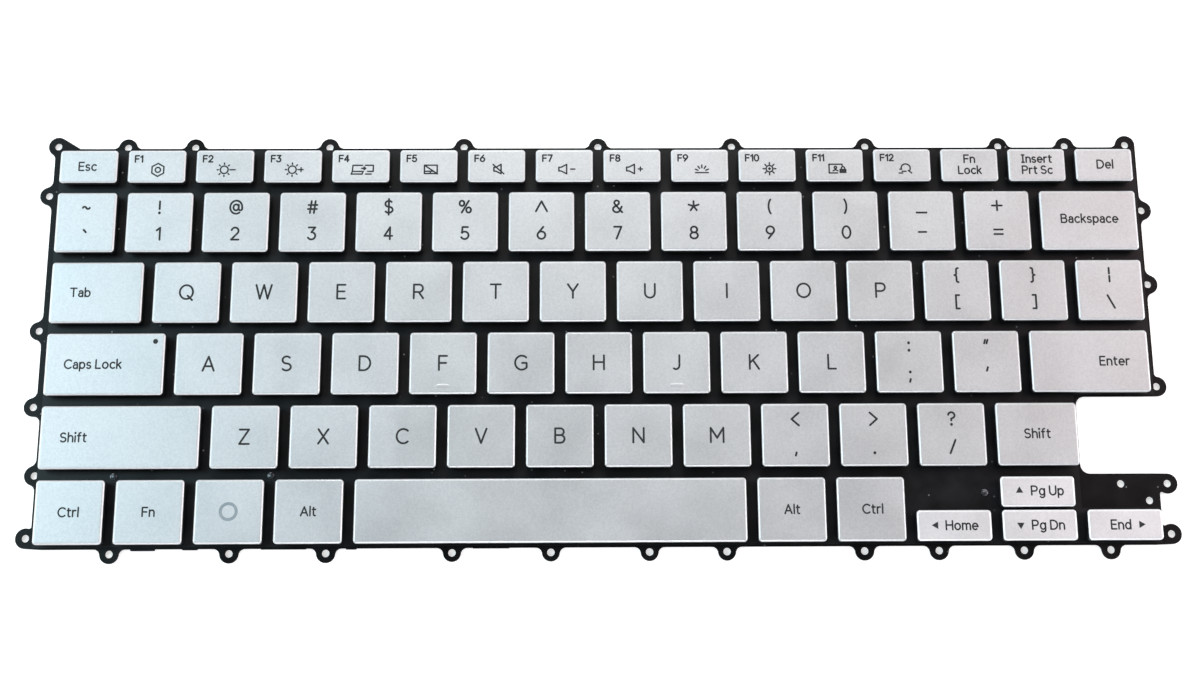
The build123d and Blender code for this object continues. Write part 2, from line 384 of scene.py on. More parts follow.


# side profile: hollow's roof, down the inner wall, round the rim, up the side, over the eased edge, the top;
# the edge adds up step x (cos, sin) of its tilts; the skirt is drawn black up to the paint below the edge
def capShell(name):
    shape = capShape
    low, high = caps[name]
    tilt, step = np.radians(shape["edgeTilts"]), np.array(shape["edgeSteps"])
    over = shape["lean"] + np.concatenate([[0], np.cumsum(step * np.cos(tilt))])
    up = np.concatenate([[0], np.cumsum(step * np.sin(tilt))])
    up += topZ - up[-1]
    inset = np.concatenate([[shape["wall"]] * 2, [shape["rimRound"], 0.0, shape["lean"]], over,
                            [over[-1] + shape["flatRing"]]])
    height = np.concatenate([[topZ - shape["roof"], skirtZ], [skirtZ, skirtZ + shape["rimRound"]],
                             [up[0] - shape["paintDrop"]], up, [topZ]])
    radius = np.maximum(shape["cornerRadius"] - inset, shape["leastRadius"])
    loops = roundedLoops((low + high) / 2, (high - low) / 2, inset, height, radius)
    slots = np.where(np.arange(len(inset) - 1) < shape["blackRows"], skirtSlot, paintSlot)
    return loopShell(loops, np.concatenate([np.repeat(slots, loops.shape[1]), [skirtSlot, paintSlot]]))


# homing bar: a flat-topped section carried along x, drawn in at both ends as sqrt(1 - along ^ power)
def homingBar(name):
    shape = capShape
    low, high = caps[name]
    along = np.linspace(-1, 1, shape["barSteps"])
    swell = np.sqrt(np.clip(1 - np.abs(along) ** shape["barPower"], shape["barTip"], 1))[:, None]
    across, rise = np.array(shape["barSection"]).T
    x = np.broadcast_to((low[0] + high[0]) / 2 + along[:, None] * shape["barLength"] / 2,
                        (len(along), len(across)))
    y = low[1] + shape["barFromEdge"] + swell * across
    z = topZ + swell * rise
    return loopShell(np.stack([x, y, z], -1)[::-1], paintSlot)


# Legends: strokes on a grid. A pair is a point, six numbers are an arc: middle x and y, radii x and y,
# first and last angle
gridHeight = 10  # a capital's height on the grid
strokeFont = {
    "A": [[(0, 0), (3.9, 10), (7.8, 0)], [(1.3, 3.2), (6.5, 3.2)]],
    "B": [[(3.5, 5.3), (0, 5.3)], [(0, 0), (0, 10), (3.5, 10), (3.5, 7.65, 2.4, 2.35, 90, -90)],
          [(3.5, 5.3), (3.7, 2.65, 2.7, 2.65, 90, -90), (0, 0)]],
    "C": [[(4.6, 5, 4.6, 5, 48, 312)]],
    "D": [[(0, 0), (0, 10), (2.9, 10), (2.9, 5, 4.6, 5, 90, -90), (0, 0)]],
    "E": [[(5.6, 10), (0, 10), (0, 0), (5.6, 0)], [(0, 5.2), (5, 5.2)]],
    "F": [[(5.5, 10), (0, 10), (0, 0)], [(0, 5), (4.9, 5)]],
    "G": [[(4.6, 5, 4.6, 5, 48, 318), (8, 4.8), (4.9, 4.8)]],
    "H": [[(0, 0), (0, 10)], [(7.2, 0), (7.2, 10)], [(0, 5.2), (7.2, 5.2)]],
    "I": [[(0, 0), (0, 10)]],
    "|": [[(0, 0), (3, 0)], [(1.5, 0), (1.5, 10)], [(0, 10), (3, 10)]],
    "J": [[(4.2, 10), (4.2, 3), (1.7, 3, 2.5, 3, 0, -125)]],
    "K": [[(0, 0), (0, 10)], [(6, 10), (0.3, 4.6)], [(2.2, 6.4), (6.4, 0)]],
    "L": [[(0, 10), (0, 0), (5.2, 0)]],
    "M": [[(0, 0), (0, 10), (4.4, 3), (8.8, 10), (8.8, 0)]],
    "N": [[(0, 0), (0, 10), (7.2, 0), (7.2, 10)]],
    "O": [[(4.6, 5, 4.6, 5, 0, 360)]],
    "P": [[(0, 0), (0, 10), (3.6, 10), (3.6, 7.2, 2.8, 2.8, 90, -90), (0, 4.4)]],
    "Q": [[(4.6, 5, 4.6, 5, 0, 360)], [(5.6, 2.4), (8.8, -0.8)]],
    "R": [[(0, 0), (0, 10), (3.6, 10), (3.6, 7.3, 2.7, 2.7, 90, -90), (0, 4.6)], [(3.4, 4.6), (6.6, 0)]],
    "S": [[(3.2, 7.5, 2.8, 2.5, 40, 270), (3.2, 2.5, 3.1, 2.5, 90, -145)]],
    "T": [[(0, 10), (7, 10)], [(3.5, 10), (3.5, 0)]],
    "U": [[(0, 10), (0, 3.6), (3.5, 3.6, 3.5, 3.6, 180, 360), (7, 10)]],
    "V": [[(0, 10), (3.7, 0), (7.4, 10)]],
    "W": [[(0, 10), (2.7, 0), (5.4, 10), (8.1, 0), (10.8, 10)]],
    "X": [[(0, 0), (6.8, 10)], [(0, 10), (6.8, 0)]],
    "Y": [[(0, 10), (3.5, 4.7), (7, 10)], [(3.5, 4.7), (3.5, 0)]],
    "Z": [[(0, 10), (6.4, 10), (0, 0), (6.6, 0)]],
    "a": [[(4.7, 0), (4.7, 4.6), (2.6, 4.7, 2.1, 2.3, 0, 150)],
          [(4.7, 4.1), (2.2, 4.1), (2.2, 2.05, 2.1, 2.05, 90, 270), (3, 0), (4.7, 1.6)]],
    "b": [[(0, 10.4), (0, 0)], [(2.8, 3.5, 2.8, 3.5, 0, 360)]],
    "c": [[(3, 3.5, 3, 3.5, 50, 310)]],
    "d": [[(5.6, 10.4), (5.6, 0)], [(2.8, 3.5, 2.8, 3.5, 0, 360)]],
    "e": [[(0.1, 3.6), (5.7, 3.6), (2.9, 3.5, 2.85, 3.5, 0, 305)]],
    "f": [[(3.2, 8.6, 1.8, 1.8, 80, 180), (1.4, 0)], [(0, 7), (3.3, 7)]],
    "g": [[(5.6, 7), (5.6, -0.4), (2.8, -0.4, 2.8, 2.6, 0, -140)], [(2.8, 3.5, 2.8, 3.5, 0, 360)]],
    "h": [[(0, 10.4), (0, 0)], [(0, 4.2), (2.6, 4.2, 2.6, 2.8, 180, 0), (5.2, 0)]],
    "i": [[(0, 0), (0, 6.6)], [(0, 10.0), (0, 10.2)]],
    "k": [[(0, 0), (0, 10.4)], [(4.4, 7), (0.2, 3)], [(1.6, 4.4), (4.7, 0)]],
    "l": [[(0, 10.4), (0, 0)]],
    "m": [[(0, 7), (0, 0)], [(0, 4.6), (2.2, 4.6, 2.2, 2.4, 180, 0), (4.4, 0)],
          [(4.4, 4.6), (6.6, 4.6, 2.2, 2.4, 180, 0), (8.8, 0)]],
    "n": [[(0, 7), (0, 0)], [(0, 4.2), (2.6, 4.2, 2.6, 2.8, 180, 0), (5.2, 0)]],
    "o": [[(3, 3.5, 3, 3.5, 0, 360)]],
    "p": [[(0, 7), (0, -3)], [(2.8, 3.5, 2.8, 3.5, 0, 360)]],
    "r": [[(0, 7), (0, 0)], [(0, 4.2), (2.6, 4.2, 2.6, 2.8, 180, 75)]],
    "s": [[(2.3, 5.25, 2, 1.75, 40, 270), (2.3, 1.75, 2.2, 1.75, 90, -145)]],
    "t": [[(1.2, 9.2), (1.2, 1.8), (2.9, 1.7, 1.7, 1.7, 180, 280)], [(0, 7), (3.4, 7)]],
    "0": [[(3.2, 5, 3.2, 5, 0, 360)]],
    "1": [[(0, 7.8), (2.6, 10), (2.6, 0)]],
    "2": [[(3, 7.2, 2.8, 2.8, 165, -35), (0.1, 0), (6, 0)]],
    "3": [[(0.4, 10), (5.6, 10), (2.6, 6), (2.7, 3, 3.1, 3, 90, -150)]],
    "4": [[(4.4, 0), (4.4, 10), (0, 2.8), (6.2, 2.8)]],
    "5": [[(5.3, 10), (1, 10), (0.7, 5.5), (2.8, 3.1, 3.1, 3.1, 130, -150)]],
    "6": [[(4.6, 10), (0.56, 4.9), (3.1, 3.1, 3.1, 3.1, 145, 505)]],
    "7": [[(0, 10), (5.8, 10), (1.9, 0)]],
    "8": [[(3, 7.5, 2.5, 2.5, 0, 360)], [(3, 2.6, 3, 2.6, 0, 360)]],
    "9": [[(1.6, 0), (5.64, 5.1), (3.1, 6.9, 3.1, 3.1, -35, 325)]],
    "~": [[(1.35, 4.7, 1.35, 0.9, 180, 0), (4.05, 4.7, 1.35, 0.9, 180, 360)]],
    "`": [[(0, 8.4), (1.8, 6.4)]],
    "!": [[(0, 10), (0, 3.6)], [(0, 0.2), (0, 0.5)]],
    "@": [[(4.7, 4.8, 2.1, 2.5, 0, 360)],
          [(6.8, 7.1), (6.8, 3.8), (8.2, 3.8, 1.4, 1.5, 180, 360), (4.8, 5, 4.8, 5.5, 0, 305)]],
    "#": [[(1.6, 0), (2.8, 10)], [(4.8, 0), (6, 10)], [(0.4, 6.7), (7.4, 6.7)], [(0, 3.3), (7, 3.3)]],
    "$": [[(3.2, 7.5, 2.8, 2.5, 40, 270), (3.2, 2.5, 3.1, 2.5, 90, -145)], [(3.2, 11.6), (3.2, -1.6)]],
    "%": [[(1.9, 7.8, 1.9, 2.2, 0, 360)], [(7.3, 2.2, 1.9, 2.2, 0, 360)], [(7.4, 10), (1.8, 0)]],
    "^": [[(0, 1), (4.5, 9.4), (9, 1)]],
    "&": [[(7.4, 0), (1.5, 6.9), (3, 8.1, 1.9, 1.9, 215, -45), (0.8, 4.3), (2.9, 2.6, 2.9, 2.6, 140, 335),
           (7, 4.8)]],
    "*": [[(4.2, 5), (4.2, 9.2)], [(4.2, 5), (8.2, 6.3)], [(4.2, 5), (6.7, 1.6)], [(4.2, 5), (1.7, 1.6)],
          [(4.2, 5), (0.2, 6.3)]],
    "(": [[(4.2, 4.6, 4.2, 7.4, 128, 232)]],
    ")": [[(0, 4.6, 4.2, 7.4, 52, -52)]],
    "_": [[(0, -0.8), (8, -0.8)]],
    "-": [[(0, 5), (6, 5)]],
    "+": [[(0, 5), (8, 5)], [(4, 9), (4, 1)]],
    "=": [[(0, 6.9), (6.8, 6.9)], [(0, 3.1), (6.8, 3.1)]],
    "{": [[(3.2, 9.4, 1.5, 1.4, 90, 180), (0.2, 6.4, 1.5, 1.4, 0, -90)],
          [(0.2, 3.6, 1.5, 1.4, 90, 0), (3.2, 0.6, 1.5, 1.4, 180, 270)]],
    "}": [[(0, 9.4, 1.5, 1.4, 90, 0), (3, 6.4, 1.5, 1.4, 180, 270)],
          [(3, 3.6, 1.5, 1.4, 90, 180), (0, 0.6, 1.5, 1.4, 0, -90)]],
    "[": [[(2.6, 10.6), (0, 10.6), (0, -0.4), (2.6, -0.4)]],
    "]": [[(0, 10.6), (2.6, 10.6), (2.6, -0.4), (0, -0.4)]],
    "¦": [[(0, 10.6), (0, 6)], [(0, 4), (0, -0.6)]],
    "\\": [[(0, 10.2), (5.2, -0.2)]],
    ":": [[(0, 7.6), (0, 7.9)], [(0, 1.6), (0, 1.9)]],
    ";": [[(0.5, 6.2), (0.5, 6.5)], [(0.6, 0.6), (0, -1.6)]],
    "“": [[(0, 7.1), (0.9, 10)], [(1.9, 7.1), (2.8, 10)]],
    "‘": [[(0, 7.1), (0.9, 10)]],
    "<": [[(5.6, 10), (0, 5), (5.6, 0)]],
    ">": [[(0, 10), (5.6, 5), (0, 0)]],
    ",": [[(0.7, 0.8), (0, -1.6)]],
    ".": [[(0, 0.2), (0, 0.5)]],
    "?": [[(2.6, 7.6, 2.5, 2.4, 170, -50), (2.4, 4.8), (2.4, 3.6)], [(2.4, 0.2), (2.4, 0.5)]],
    "/": [[(0, -0.2), (4.4, 10.2)]],
}


# short strokes round a middle: middle + (inner, outer) x (cos, sin) of each turn
def rays(x, y, inner, outer, turns):
    return [[(x + r * np.cos(a), y + r * np.sin(a)) for r in (inner, outer)] for a in np.radians(turns)]


# small pictures on the function caps, in millimetres about their middles
eighths = np.arange(0, 360, 45)
sun = [[(-0.65, 0, 0.98, 0.98, 0, 360)], *rays(-0.65, 0, 1.45, 1.75, eighths)]
speaker = [[(-1.9, 0.5), (-1.3, 0.5), (0.05, 1.25), (0.05, -1.25), (-1.3, -0.5), (-1.9, -0.5), (-1.9, 0.5)]]
minusMark = [[(1.05, 0), (2.1, 0)]]
plusMark = [[(1.05, 0), (2.05, 0)], [(1.55, 0.5), (1.55, -0.5)]]
pictures = {
    "f1": [[(-0.2 + 1.7 * np.cos(a), 1.7 * np.sin(a)) for a in np.radians(np.arange(30, 391, 60))],
           [(-0.2, 0, 0.65, 0.65, 0, 360)]],
    "f2": sun + minusMark,
    "f3": sun + plusMark,
    "f4": [[(-0.1, 1.1), (-2.5, 1.1), (-2.6, -0.5), (-0.2, -0.5)], [(-2.6, -0.5), (-2.9, -1.2), (-0.2, -1.2),
           (0.1, -0.5)], [(0.6, 1.1), (2.6, 1.1), (2.6, -0.5), (1.2, -0.5)], [(0.7, -1.2), (2.1, -1.2)],
           [(-0.3, 0.3), (0.7, 0.3)], [(0.3, 0.65), (0.7, 0.3), (0.3, -0.05)]],
    "f5": [[(-1.6, 1.1), (1.6, 1.1), (1.6, -1.1), (-1.6, -1.1), (-1.6, 1.1)], [(-1.6, -0.5), (0.6, -0.5)],
           [(-0.1, -0.5), (-0.1, -1.1)], [(-1.6, 1.1), (1.7, -1.2)]],
    "f6": [[(-1.2, 0.5), (-0.7, 0.5), (0.6, 1.3), (0.6, -1.2), (-0.7, -0.5), (-1.2, -0.5), (-1.2, 0.5)],
           [(-1.4, 1.25), (1.3, -1.2)]],
    "f7": speaker + minusMark,
    "f8": speaker + plusMark,
    "f9": [[(-1.6, -1.0), (1.6, -1.0)], *rays(0, -0.75, 1.05, 1.75, [22, 56, 90, 124, 158])],
    "f10": [[(0, 0, 0.85, 0.85, 0, 360)], [(-0.26, 0), (0.26, 0)], [(0, -0.26), (0, 0.26)],
            *rays(0, 0, 1.2, 1.6, eighths)],
    "f11": [[(0.1, -1.15), (-2.0, -1.15), (-2.0, 1.15), (1.3, 1.15), (1.3, 0.8)],
            [(-0.4, 0.3, 0.3, 0.3, 0, 360)], [(-1.0, -0.6), (-0.4, -0.25), (0.2, -0.6)],
            *[[(0.75, y), (2.2, y)] for y in (-0.25, -0.5, -0.75, -1.0)],
            [(1.5, -0.2, 0.45, 0.75, 0, 180)]],
    "f12": [[(0.3, 0.1, 1.15, 1.1, -45, 195)], [(0.95, -0.55), (1.75, -1.2)], [(-0.6, -0.75), (0.35, -0.75)],
            [(-1.2, -0.2), (-0.75, -0.2)], [(-1.4, -1.2), (-0.5, -1.2)]],
}
legendLook = {
    "letter": (3.5, 0.49),  # cap height and stroke width
    "symbol": (3.1, 0.5),
    "word": (2.1, 0.39),
    "line": (1.95, 0.4),
    "label": (1.65, 0.4),
    "pictureStroke": 0.38,
    "dotLength": 0.2,  # a stroke no longer than this is a dot, and is drawn wider
    "dotShare": 1.35,
    "gap": 2.7,  # between letters, on the font's grid
    "space": 3.4,
    "arcStep": 15,  # degrees
    "cutTurn": 40,
    "samePoint": 1e-4,
    "endPast": [1.0, 0.8, 0.45],  # a stroke's round end, past the run and across, as shares of half its width
    "endWide": [0.1, 0.6, 0.9],
    "lift": 0.012,  # how far the ink stands on the cap
    "stack": 0.0003,  # and each next stroke on the last
    "depth": 0.03,
    "upper": 3.8,
    "lower": -3.05,
    "labelPlace": (-5.4, 1.95),
    "picturePlace": (0.55, -0.95),
}
# upper and lower sign
pairs = {"grave": "~`", "1": "!1", "2": "@2", "3": "#3", "4": "$4", "5": "%5", "6": "^6", "7": "&7",
         "8": "*8", "9": "(9", "0": ")0", "minus": "_-", "equals": "+=", "left_bracket": "{[",
         "right_bracket": "}]", "backslash": "¦\\", "semicolon": ":;", "quote": "“‘", "comma": "<,",
         "period": ">.", "slash": "?/"}
# words: text, place from the cap's middle, kind of height
words = {
    "esc": [("Esc", -0.2, 0, "word")],
    "fn_lock": [("Fn", 0, 1.6, "line"), ("Lock", 0, -1.35, "line")],
    "insert": [("|nsert", 0, 1.6, "line"), ("Prt Sc", 0, -1.35, "line")],
    "delete": [("Del", 0.2, 0.1, "word")],
    "backspace": [("Backspace", 0.1, 0.4, "word")],
    "tab": [("Tab", -3.9, 0, "word")],
    "caps_lock": [("Caps Lock", -2.8, 0, "word")],
    "enter": [("Enter", 6.0, 0, "word")],
    "left_shift": [("Shift", -11.0, 0, "word")],
    "right_shift": [("Shift", 0, 0.1, "word")],
    "left_ctrl": [("Ctrl", 0, 0, "word")],
    "fn": [("Fn", 0, 0, "word")],
    "left_alt": [("Alt", 0, 0, "word")],
    "right_alt": [("Alt", 0, 0, "word")],
    "right_ctrl": [("Ctrl", 0.3, 0, "word")],
    "home": [("Home", 1.7, 0, "word")],
    "page_up": [("Pg Up", 2.2, 0.2, "word")],
    "page_down": [("Pg Dn", 1.9, 0, "word")],
    "end": [("End", -1.2, 0, "word")],
}
# arrow heads: place from the cap's middle and the way that they point, in degrees
arrows = {"home": (-4.5, 0, 180), "page_up": (-4.5, 0.2, 90), "page_down": (-4.7, 0, 270), "end": (3.7, 0, 0)}
arrowSize = 1.02  # middle to corner


# points of a stroke: its pairs as they are, its arcs as middle + radius x (cos, sin) at even angles
def strokePoints(stroke):
    look = legendLook
    runs = []
    for part in stroke:
        if len(part) == 2:
            runs.append(np.array([part], float))
        else:
            x, y, radiusX, radiusY, first, last = part
            turn = np.radians(np.linspace(first, last, int(abs(last - first) / look["arcStep"]) + 2))
            runs.append(np.stack([x + radiusX * np.cos(turn), y + radiusY * np.sin(turn)], -1))
    points = np.concatenate(runs)
    keep = np.concatenate([[True], np.linalg.norm(np.diff(points, axis=0), axis=1) > look["samePoint"]])
    return points[keep]


# a path cut where it turns by more than the cut angle, so that each run gets its own round ends
def smoothRuns(points):
    step = np.diff(points, axis=0)
    way = np.unwrap(np.arctan2(step[:, 1], step[:, 0]))
    cuts = np.flatnonzero(np.abs(np.diff(way)) > np.radians(legendLook["cutTurn"])) + 1
    edges = [0, *cuts.tolist(), len(points) - 1]
    return [points[a:b + 1] for a, b in zip(edges[:-1], edges[1:])]


# ribbon of ink: a flat box section carried along the run, its width drawn in to a half circle at both ends
def ribbon(run, width, z, slot):
    half = width / 2
    step = np.diff(run, axis=0)
    step /= np.linalg.norm(step, axis=1)[:, None]
    way = np.concatenate([step[:1], step[:-1] + step[1:], step[-1:]])
    way /= np.linalg.norm(way, axis=1)[:, None]
    past = half * np.array(legendLook["endPast"])[:, None]
    share = np.array(legendLook["endWide"])
    path = np.concatenate([run[0] - past * way[0], run, run[-1] + past[::-1] * way[-1]])
    way = np.concatenate([np.repeat(way[:1], len(share), 0), way, np.repeat(way[-1:], len(share), 0)])
    wide = half * np.concatenate([share, np.ones(len(run)), share[::-1]])[:, None]
    left = np.stack([-way[:, 1], way[:, 0]], -1) * wide
    sides = np.stack([path + left, path + left, path - left, path - left], 1)
    foot = z - legendLook["depth"]
    heights = np.broadcast_to([foot, z, z, foot], sides.shape[:2])
    return loopShell(np.concatenate([sides, heights[..., None]], -1), slot)


# strokes of a text in millimetres about the middle of its cap height; side -1 starts at the left instead
def textRuns(text, height, side=0):
    look = legendLook
    unit = height / gridHeight
    pen, runs = 0.0, []
    for letter in text:
        if letter == " ":
            pen += look["space"]
            continue
        paths = [strokePoints(stroke) for stroke in strokeFont[letter]]
        left = min(path[:, 0].min() for path in paths)
        right = max(path[:, 0].max() for path in paths)
        runs += [run + (pen - left, -gridHeight / 2) for path in paths for run in smoothRuns(path)]
        pen += right - left + look["gap"]
    start = 0 if side < 0 else (pen - look["gap"]) / 2
    return [(run - (start, 0)) * unit for run in runs]


# flat shape of ink: its outline at the foot and at the top
def inkPatch(outline, z, slot):
    loops = np.stack([np.c_[outline, np.full(len(outline), h)] for h in (z - legendLook["depth"], z)])
    return loopShell(loops, slot)


# all the ink on one cap: its letter, signs, words or picture about its middle, and its arrow head
def legendShells(name):
    look = legendLook
    low, high = caps[name]
    middle = (low[:2] + high[:2]) / 2
    lines = []
    if len(name) == 1 and name.isalpha():
        height, width = look["letter"]
        lines.append((textRuns(name.upper(), height), 0, 0, width))
    if name in pairs:
        for text, place in zip(pairs[name], (look["upper"], look["lower"])):
            height, width = look["symbol"]
            lines.append((textRuns(text, height), 0, place, width))
    for text, x, y, kind in words.get(name, []):
        height, width = look[kind]
        lines.append((textRuns(text, height), x, y, width))
    if name in pictures:
        height, width = look["label"]
        lines.append((textRuns(name.upper(), height, -1), *look["labelPlace"], width))
        paths = [run for stroke in pictures[name] for run in smoothRuns(strokePoints(stroke))]
        lines.append((paths, *look["picturePlace"], look["pictureStroke"]))
    shells = []
    for runs, x, y, width in lines:
        for n, run in enumerate(runs):
            share = look["dotShare"] if np.ptp(run, axis=0).max() < look["dotLength"] else 1.0
            z = topZ + look["lift"] + look["stack"] * n
            shells.append(ribbon(run + middle + (x, y), width * share, z, inkSlot))
    if name in arrows:
        x, y, turn = arrows[name]
        corners = np.radians(turn + np.array([0, 120, 240]))
        outline = middle + (x, y) + arrowSize * np.stack([np.cos(corners), np.sin(corners)], -1)
        shells.append(inkPatch(outline, topZ + look["lift"], inkSlot))
    return shells


# Marks: the lock light, and the plain ring on the system cap
markLook = {"lightPlace": (12.1, 5.6), "lightRadius": 0.62, "ringRadius": 1.9, "ringWidth": 0.75, "steps": 32}


# circles about a place on the cap: radius x (cos, sin); the ring lies half its width to both sides
def markShells(name):
    low, high = caps[name]
    middle = (low[:2] + high[:2]) / 2
    circle = unitCircle(markLook["steps"])
    z = topZ + legendLook["lift"]
    if name == "caps_lock":
        return [inkPatch(middle + markLook["lightPlace"] + markLook["lightRadius"] * circle, z, inkSlot)]
    if name == "system":
        outer = middle + (markLook["ringRadius"] + markLook["ringWidth"] / 2) * circle
        inner = middle + (markLook["ringRadius"] - markLook["ringWidth"] / 2) * circle
        foot = z - legendLook["depth"]
        rows = [(outer, foot), (outer, z), (inner, z), (inner, foot)]
        loops = np.stack([np.c_[outline, np.full(len(outline), h)] for outline, h in rows], 0)
        return [ringShell(loops, paleInkSlot)]
    return []


# one whole cap: its shell, its bar if it has one, and its ink
def capShells(name):
    bar = [homingBar(name)] if name in capShape["barKeys"] else []
    return [capShell(name), *bar, *legendShells(name), *markShells(name)]


keyFinish = [silver, ink, paleInk, skirtBlack]
for node, names in (("function_row_keys", capFunction), ("number_row_keys", capNumber)):
    shells = [shell for name in names for shell in capShells(name)]
    pieceName = node.replace("_keys", "Caps").replace("_r", "R")
    buildPiece(pieceName, shells, keyFinish, base, [node])
jointed = [name for name in caps if capNode[name] == f"key_{name}"]
for name in jointed:
    # the four small caps with arrows take the brighter silver, a painted highlight
    finish = [brightLitSilver, *keyFinish[1:]] if name in arrows else keyFinish
    buildPiece(f"cap_{name}", capShells(name), finish, f"key_{name}", [f"key_{name}"])
print("caps and legends made,", len(caps))

# Under each cap: a rubber dome, two crossed link frames, and a wire under the four widest caps
linkSlot, domeSlot, wireSlot = range(3)
mechanismShape = {
    "roof": topZ - capShape["roof"],
    "seat": 0.1,  # clear above and below the links and the wire
    "domeRadius": 2.1,
    "domeProfile": [(1.0, 0.0), (1.0, 0.07), (0.9, 0.12), (0.72, 0.55), (0.6, 0.75), (0.57, 0.8),
                    (0.57, 1.0)],  # shares of the radius and of the height
    "domeSteps": 16,
    "linkLength": 10.6,
    "outerWidth": 11.4,
    "innerWidth": 9.0,
    "linkSection": (0.9, 0.6),
    "linkCorner": 0.5,
    "linkCornerSteps": 2,
    "shallow": 10.0,  # caps that are less deep than this have the smaller set, turned
    "smallShares": (0.5, 0.65, 0.66),  # width, section and dome against the full ones
    "wireKeys": ["caps_lock", "enter", "left_shift", "space"],
    "wireRadius": 0.4,
    "wireSteps": 8,
    "wireFromWall": (1.4, 0.75),  # from the cap's inner wall to the wire's middle
    "wireLegRun": 8.5,
    "wireBend": [(0.0, 0.8, 0.2), (0.25, 0.25, 0.06), (0.8, 0.0, 0.0)],  # in, back and down from the corner
    "pressedShare": 0.46,
}


# dome: its profile times the radius and the height from the sheet to the roof, turned about the cap's middle
def domeShell(middle, radius):
    shape = mechanismShape
    share, rise = np.array(shape["domeProfile"]).T
    heights = floorZ + (shape["roof"] - floorZ) * rise
    return turnedShell(middle, radius * share, heights, shape["domeSteps"], domeSlot)


# link frame: a box section carried round a rounded rectangle that leans from the sheet up to the roof,
# higher by rise x (distance along it / length)
def linkShell(middle, width, length, section, side, turned):
    shape = mechanismShape
    signs, out = cornerWays(shape["linkCornerSteps"])
    corner = shape["linkCorner"]
    centreline = signs * (np.array([width, length]) / 2 - section[0] / 2 - corner) + corner * out
    offset = np.array([-1, -1, 1, 1]) * section[0] / 2
    flat = centreline[:, None] + out[:, None] * offset[None, :, None]
    rise = shape["roof"] - floorZ - section[1] - shape["seat"]
    lean = side * flat[..., 1] / length * rise
    z = (floorZ + shape["roof"]) / 2 + lean + np.array([-1, 1, 1, -1]) * section[1] / 2
    x, y = (flat[..., 1], -flat[..., 0]) if turned else (flat[..., 0], flat[..., 1])
    return ringShell(np.stack([middle[0] + x, middle[1] + y, z], -1), linkSlot)


# stabiliser wire: a round section carried along one leg, round the bend and along half the long run, then
# the same path mirrored
def wireShell(low, high):
    shape = mechanismShape
    radius = shape["wireRadius"]
    middle, half = (low + high) / 2, (high - low) / 2
    x, y = half[:2] - capShape["wall"] - shape["wireFromWall"]
    top, foot = shape["roof"] - shape["seat"] - radius, floorZ + shape["seat"] + radius
    leg = [(x, y - shape["wireLegRun"], foot)]
    bend = [(x - inward, y - back, top - down) for inward, back, down in shape["wireBend"]]
    right = np.array(leg + bend)
    path = np.concatenate([right * (-1, 1, 1), right[::-1]])
    step = np.gradient(path, axis=0)[:, :2]
    side = np.stack([-step[:, 1], step[:, 0]], -1) / np.linalg.norm(step, axis=1)[:, None]
    aside, lift = radius * unitCircle(shape["wireSteps"]).T
    flat = path[:, None, :2] + side[:, None] * aside[None, :, None]
    z = path[:, None, 2] - lift
    loops = np.concatenate([middle[:2] + flat, z[..., None]], -1)
    return loopShell(loops, wireSlot)


# the set under one cap: its sizes times the small shares under a shallow cap
def mechanismShells(name):
    shape = mechanismShape
    low, high = caps[name]
    middle = (low + high) / 2
    turned = high[1] - low[1] < shape["shallow"]
    width, thin, dome = shape["smallShares"] if turned else (1, 1, 1)
    section = (shape["linkSection"][0] * thin, shape["linkSection"][1])
    shells = [domeShell(middle, shape["domeRadius"] * dome),
              linkShell(middle, shape["outerWidth"] * width, shape["linkLength"], section, 1, turned),
              linkShell(middle, shape["innerWidth"] * width, shape["linkLength"], section, -1, turned)]
    if name in shape["wireKeys"]:
        shells.append(wireShell(low, high))
    return shells


under = ["rubber_domes", "scissor_inner_links", "scissor_outer_links"]
underFinish = [acetal, silicone, wireSteel]
fixedNames = [name for name in caps if name not in jointed]
fixedShells = [shell for name in fixedNames for shell in mechanismShells(name)]
buildPiece("fixedRowMechanisms", fixedShells, underFinish, base, under)
for name in jointed:
    stood = under + ["stabiliser_bars"] * (name in mechanismShape["wireKeys"])
    piece = buildPiece(f"mechanism_{name}", mechanismShells(name), underFinish, base, stood)
    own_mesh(piece)
print("mechanisms made")

